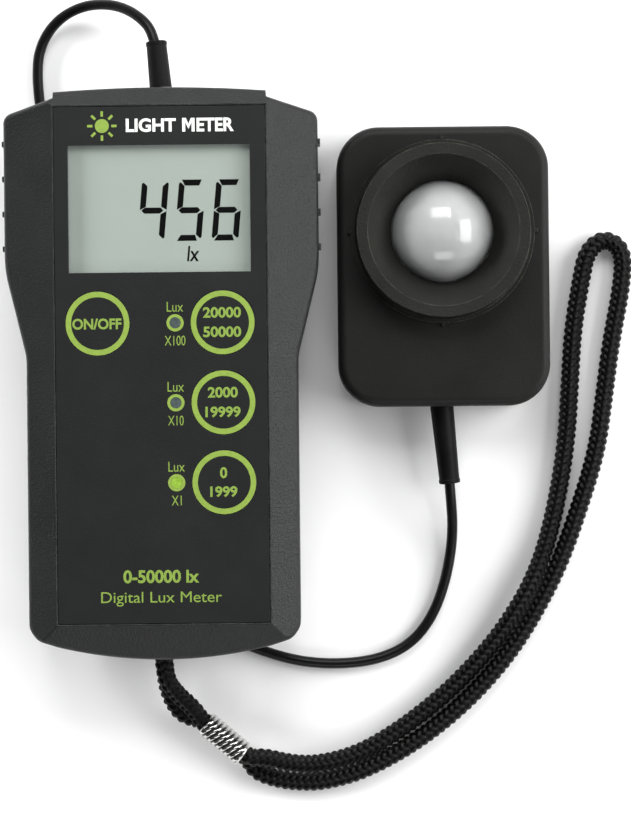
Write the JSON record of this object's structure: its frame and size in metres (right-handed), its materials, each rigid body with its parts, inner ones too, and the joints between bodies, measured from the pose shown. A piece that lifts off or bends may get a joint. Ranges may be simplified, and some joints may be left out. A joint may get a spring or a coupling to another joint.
{
  "type": "light meter",
  "caption": "Hand-held light meter with display, round keys and range lights, a square sensor probe with an opal dome on a flexible lead, and a braided wrist strap",
  "frame": {"origin": "middle of the meter's flat back, on the surface that the meter lies on", "axes": "+X is the meter's right and the side the probe lies on, +Y is the meter's top end, where the lead leaves, +Z is out of the display face"},
  "size_m": [0.1613, 0.2054, 0.032],
  "materials": {
    "case": "fine texture, charcoal",
    "face": "smooth satin sheet, charcoal, green print",
    "window": "clear",
    "lcd": "grey-green reflective display",
    "moulding": "plain black moulding",
    "rubber": "matte black",
    "board": "green circuit board",
    "light": "clear green light pipe",
    "steel": "plated steel",
    "battery_can": "wrapped can",
    "wire": "insulated wire",
    "pale_ring": "cream ring",
    "lead": "satin black sheath",
    "probe": "matte black, fine texture",
    "opal": "translucent white",
    "sensor_can": "metal can",
    "braid": "braided black cord",
    "ferrule": "crimped plated sleeve"
  },
  "bodies": {
    "root": {"front_shell": "case", "rear_shell": "case", "keypad_overlay": "face", "display_window": "window", "lcd_glass": "lcd", "lcd_frame": "moulding", "zebra_strips": "rubber", "main_pcb": "board", "circuit_parts": "moulding", "tactile_switches": "moulding", "range_light_x100": "light", "range_light_x10": "light", "range_light_x1": "light", "led_chips": "light", "case_screws": "steel", "pcb_screws": "steel", "battery": "battery_can", "battery_snap": "moulding", "battery_leads": "wire", "sensor_socket": "moulding", "lead_ring": "pale_ring", "meter_boot": "rubber", "sensor_lead": "lead", "probe_boot": "rubber", "probe_housing": "probe", "probe_back_cover": "probe", "probe_screws": "steel", "probe_collar": "probe", "diffuser_dome": "opal", "filter_holder": "moulding", "filter_glass": "window", "photodiode": "sensor_can", "probe_pcb": "board", "strap_bar": "steel", "wrist_strap": "braid", "strap_ferrule": "ferrule"},
    "battery_door": {"battery_door": "case", "battery_pad": "rubber"},
    "on_off_key": {"on_off_key": "face", "on_off_plunger": "moulding"},
    "range_high_key": {"range_high_key": "face", "range_high_plunger": "moulding"},
    "range_mid_key": {"range_mid_key": "face", "range_mid_plunger": "moulding"},
    "range_low_key": {"range_low_key": "face", "range_low_plunger": "moulding"}
  },
  "joints": [
    {"name": "battery_door_hinge", "type": "hinge", "parent": "root", "child": "battery_door", "pos_m": [0, -0.054, 0.0009], "axis": [-1, 0, 0], "range_deg": [0, 75]},
    {"name": "on_off_press", "type": "slide", "parent": "root", "child": "on_off_key", "axis": [0, 0, -1], "range_m": [0, 0.0004], "stiffness_N_per_m": 1500},
    {"name": "range_high_press", "type": "slide", "parent": "root", "child": "range_high_key", "axis": [0, 0, -1], "range_m": [0, 0.0004], "stiffness_N_per_m": 1500},
    {"name": "range_mid_press", "type": "slide", "parent": "root", "child": "range_mid_key", "axis": [0, 0, -1], "range_m": [0, 0.0004], "stiffness_N_per_m": 1500},
    {"name": "range_low_press", "type": "slide", "parent": "root", "child": "range_low_key", "axis": [0, 0, -1], "range_m": [0, 0.0004], "stiffness_N_per_m": 1500}
  ]
}
